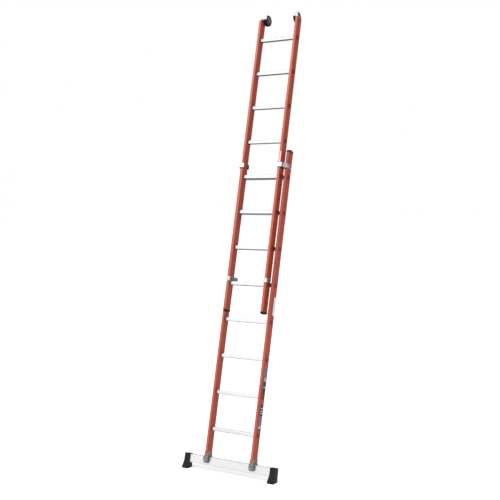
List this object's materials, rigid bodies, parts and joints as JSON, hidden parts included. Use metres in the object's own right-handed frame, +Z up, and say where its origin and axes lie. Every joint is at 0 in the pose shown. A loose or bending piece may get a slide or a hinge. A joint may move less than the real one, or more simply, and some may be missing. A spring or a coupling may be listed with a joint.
{
  "type": "extension ladder",
  "caption": "Two-section push-up extension ladder with orange glass-fibre stiles, aluminium rungs, pivoting rung hooks, wall rollers and a stabiliser bar on rubber-soled feet.",
  "frame": {"origin": "on the floor, under the middle of the leaning ladder's bounding box", "axes": "+Z up from the floor; +X to the right as the climber sees it; +Y away from the climber, the way the ladder leans"},
  "size_m": [0.812, 0.8624, 3.5272],
  "materials": {
    "stile": "orange-red pultruded glass-fibre box, satin, faint lengthwise fibres",
    "rung": "bright mill-finish extrusion with fine ribs on the tread",
    "bar": "pale anodised extrusion",
    "casting": "grey sand-cast aluminium, matte",
    "bracket": "bent bright sheet, lightly brushed",
    "hook": "dull zinc-plated steel, worn at the edges",
    "bolt": "bright zinc-plated steel",
    "plastic": "black moulded plastic, fine texture",
    "rubber": "black rubber",
    "hub": "dark grey moulded plastic"
  },
  "bodies": {
    "base": {"base_stile_right": "stile", "base_stile_left": "stile", "base_rung_1": "rung", "base_rung_2": "rung", "base_rung_3": "rung", "base_rung_4": "rung", "base_rung_5": "rung", "base_rung_6": "rung", "base_rung_7": "rung", "base_rung_8": "rung", "base_cap_right": "plastic", "base_cap_left": "plastic", "stile_shoe_right": "casting", "stile_shoe_left": "casting", "shoe_bolt_right": "bolt", "shoe_bolt_left": "bolt", "stabiliser_bar": "bar", "bar_bolt_right": "bolt", "bar_bolt_left": "bolt", "stabiliser_foot_right": "plastic", "stabiliser_foot_left": "plastic", "foot_pad_right": "rubber", "foot_pad_left": "rubber", "guide_bracket_right": "bracket", "guide_bracket_left": "bracket", "guide_liner_right": "plastic", "guide_liner_left": "plastic", "guide_keeper_right": "plastic", "guide_keeper_left": "plastic", "guide_bolt_right": "bolt", "guide_bolt_left": "bolt"},
    "fly": {"fly_stile_right": "stile", "fly_stile_left": "stile", "fly_rung_1": "rung", "fly_rung_2": "rung", "fly_rung_3": "rung", "fly_rung_4": "rung", "fly_rung_5": "rung", "fly_rung_6": "rung", "fly_rung_7": "rung", "fly_rung_8": "rung", "fly_cap_right": "plastic", "fly_cap_left": "plastic", "hook_bracket_right": "bracket", "hook_bracket_left": "bracket", "hook_pin_right": "bolt", "hook_pin_left": "bolt", "roller_bracket_right": "bracket", "roller_bracket_left": "bracket", "insert_bolt_right": "bolt", "insert_bolt_left": "bolt", "roller_axle_right": "bolt", "roller_axle_left": "bolt"},
    "hook_right": {"rung_hook_right": "hook"},
    "hook_left": {"rung_hook_left": "hook"},
    "roller_right": {"roller_hub_right": "hub", "roller_tyre_right": "rubber"},
    "roller_left": {"roller_hub_left": "hub", "roller_tyre_left": "rubber"}
  },
  "joints": [
    {"name": "fly_slide", "type": "slide", "parent": "base", "child": "fly", "axis": [0, 0.225, 0.9744], "range_m": [-1.12, 0.03]},
    {"name": "hook_right_swing", "type": "hinge", "parent": "fly", "child": "hook_right", "pos_m": [0.148, -0.11929, 1.44012], "axis": [1, 0, 0], "range_deg": [0, 100]},
    {"name": "hook_left_swing", "type": "hinge", "parent": "fly", "child": "hook_left", "pos_m": [-0.148, -0.11929, 1.44012], "axis": [1, 0, 0], "range_deg": [0, 100]},
    {"name": "roller_right_spin", "type": "hinge", "parent": "fly", "child": "roller_right", "pos_m": [0.1355, 0.3873, 3.48323], "axis": [1, 0, 0], "continuous": true},
    {"name": "roller_left_spin", "type": "hinge", "parent": "fly", "child": "roller_left", "pos_m": [-0.1355, 0.3873, 3.48323], "axis": [1, 0, 0], "continuous": true}
  ]
}
